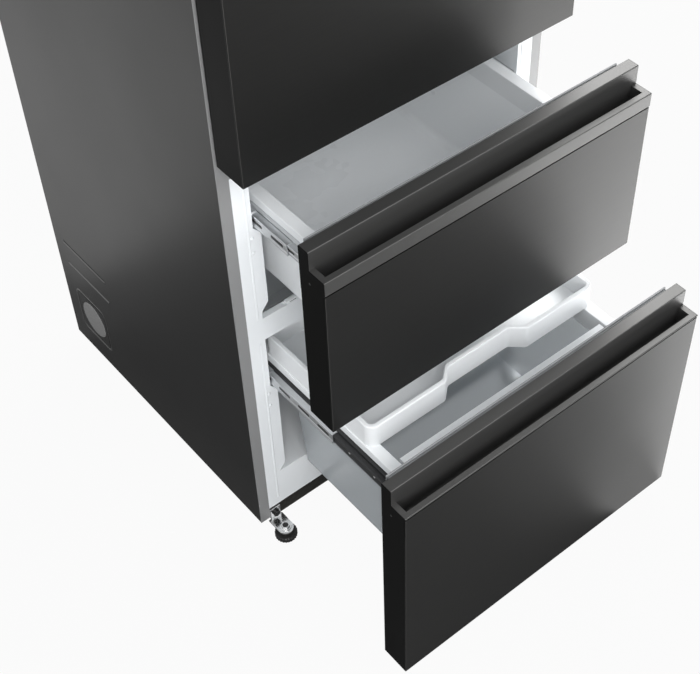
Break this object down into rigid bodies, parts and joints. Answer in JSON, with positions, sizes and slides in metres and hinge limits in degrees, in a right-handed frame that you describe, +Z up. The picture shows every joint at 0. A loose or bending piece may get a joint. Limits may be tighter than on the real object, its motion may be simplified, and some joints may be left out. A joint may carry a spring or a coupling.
{
  "type": "refrigerator",
  "caption": "Tall free-standing fridge-freezer: hinged upper door, pull-out freezer drawers with recessed top grips, bins and an inner tray on telescopic slides, dark grey steel.",
  "frame": {"origin": "on the floor under the middle of the whole outline, with both freezer drawers standing open as pictured", "axes": "+X to the right seen from the front, +Y to the back, +Z up"},
  "size_m": [0.595, 0.981, 1.905],
  "materials": {
    "case_paint": "satin",
    "back_metal": "matte",
    "flange_paint": "satin",
    "front_steel": "satin",
    "front_body": "satin",
    "grip_trim": "satin",
    "seal_rubber": "matte",
    "liner_white": "satin",
    "bin_clear": "gloss",
    "tray_white": "satin",
    "slide_steel": "satin",
    "shelf_glass": "polished",
    "lamp_cover": "satin",
    "foam": "matte",
    "zinc_steel": "satin",
    "bracket_chrome": "polished",
    "screw_steel": "satin",
    "black_plastic": "satin",
    "toe_paint": "satin",
    "compressor_paint": "gloss",
    "coil_metal": "satin"
  },
  "bodies": {
    "cabinet": {"side_panel_left": "case_paint", "side_panel_right": "case_paint", "top_panel": "case_paint", "back_panel": "back_metal", "front_flange": "flange_paint", "insulation_foam": "foam", "fridge_liner": "liner_white", "freezer_liner": "liner_white", "drawer_crossbar": "liner_white", "rail_guides": "liner_white", "toe_plate": "toe_paint", "base_plate": "back_metal", "machine_bulkhead": "back_metal", "compressor_plate": "zinc_steel", "foot_brackets": "bracket_chrome", "machine_cover": "back_metal", "cord_gland": "black_plastic", "compressor": "compressor_paint", "drain_pan": "black_plastic", "evaporator": "coil_metal", "evaporator_cover": "liner_white", "fan_motor": "black_plastic", "glass_shelves": "shelf_glass", "ceiling_lamp": "lamp_cover", "top_hinge": "zinc_steel", "hinge_cover": "black_plastic", "middle_hinge": "zinc_steel", "bracket_screws": "screw_steel", "upper_rails": "slide_steel", "lower_rails": "slide_steel"},
    "door": {"door_panel": "front_steel", "door_core": "front_body", "door_grip": "black_plastic", "door_gasket": "seal_rubber", "door_liner": "liner_white", "door_bins": "bin_clear"},
    "upper_drawer": {"upper_panel": "front_steel", "upper_core": "front_body", "upper_handle": "grip_trim", "upper_gasket": "seal_rubber", "upper_liner": "liner_white", "upper_bin": "bin_clear", "upper_arms": "slide_steel"},
    "lower_drawer": {"lower_panel": "front_steel", "lower_core": "front_body", "lower_handle": "grip_trim", "lower_gasket": "seal_rubber", "lower_liner": "liner_white", "lower_bin": "bin_clear", "lower_arms": "slide_steel"},
    "upper_slide": {"upper_runners": "slide_steel"},
    "lower_slide": {"lower_runners": "slide_steel"},
    "tray": {"lower_tray": "tray_white"},
    "crisper": {"crisper": "bin_clear"},
    "left_foot": {"levelling_foot_left": "black_plastic"},
    "right_foot": {"levelling_foot_right": "black_plastic"},
    "left_roller": {"rear_roller_left": "black_plastic"},
    "right_roller": {"rear_roller_right": "black_plastic"},
    "fan": {"evaporator_fan": "black_plastic"}
  },
  "joints": [
    {"name": "door_swing", "type": "hinge", "parent": "cabinet", "child": "door", "pos_m": [0.2835, -0.1434, 0.8269], "axis": [0, 0, 1], "range_deg": [0, 115]},
    {"name": "upper_drawer_pull", "type": "slide", "parent": "cabinet", "child": "upper_drawer", "axis": [0, -1, 0], "range_m": [-0.1634, 0.2166]},
    {"name": "upper_runner_pull", "type": "slide", "parent": "cabinet", "child": "upper_slide", "axis": [0, -1, 0], "range_m": [-0.0818, 0.1084]},
    {"name": "lower_drawer_pull", "type": "slide", "parent": "cabinet", "child": "lower_drawer", "axis": [0, -1, 0], "range_m": [-0.3186, 0.0814]},
    {"name": "lower_runner_pull", "type": "slide", "parent": "cabinet", "child": "lower_slide", "axis": [0, -1, 0], "range_m": [-0.1594, 0.0408]},
    {"name": "tray_pull", "type": "slide", "parent": "lower_drawer", "child": "tray", "axis": [0, -1, 0], "range_m": [-0.085, 0.09]},
    {"name": "crisper_pull", "type": "slide", "parent": "cabinet", "child": "crisper", "axis": [0, -1, 0], "range_m": [0, 0.07]},
    {"name": "left_foot_turn", "type": "hinge", "parent": "cabinet", "child": "left_foot", "pos_m": [-0.2685, -0.1365, 0], "axis": [0, 0, 1], "continuous": true},
    {"name": "right_foot_turn", "type": "hinge", "parent": "cabinet", "child": "right_foot", "pos_m": [0.2685, -0.1365, 0], "axis": [0, 0, 1], "continuous": true},
    {"name": "left_roller_roll", "type": "hinge", "parent": "cabinet", "child": "left_roller", "pos_m": [-0.2525, 0.4475, 0.013], "axis": [1, 0, 0], "continuous": true},
    {"name": "right_roller_roll", "type": "hinge", "parent": "cabinet", "child": "right_roller", "pos_m": [0.2525, 0.4475, 0.013], "axis": [1, 0, 0], "continuous": true},
    {"name": "fan_spin", "type": "hinge", "parent": "cabinet", "child": "fan", "pos_m": [0, 0.39, 0.7183], "axis": [0, 1, 0], "continuous": true}
  ],
  "couplings": [
    {"joint": "upper_runner_pull", "follows": "upper_drawer_pull", "ratio": 0.5},
    {"joint": "lower_runner_pull", "follows": "lower_drawer_pull", "ratio": 0.5}
  ]
}
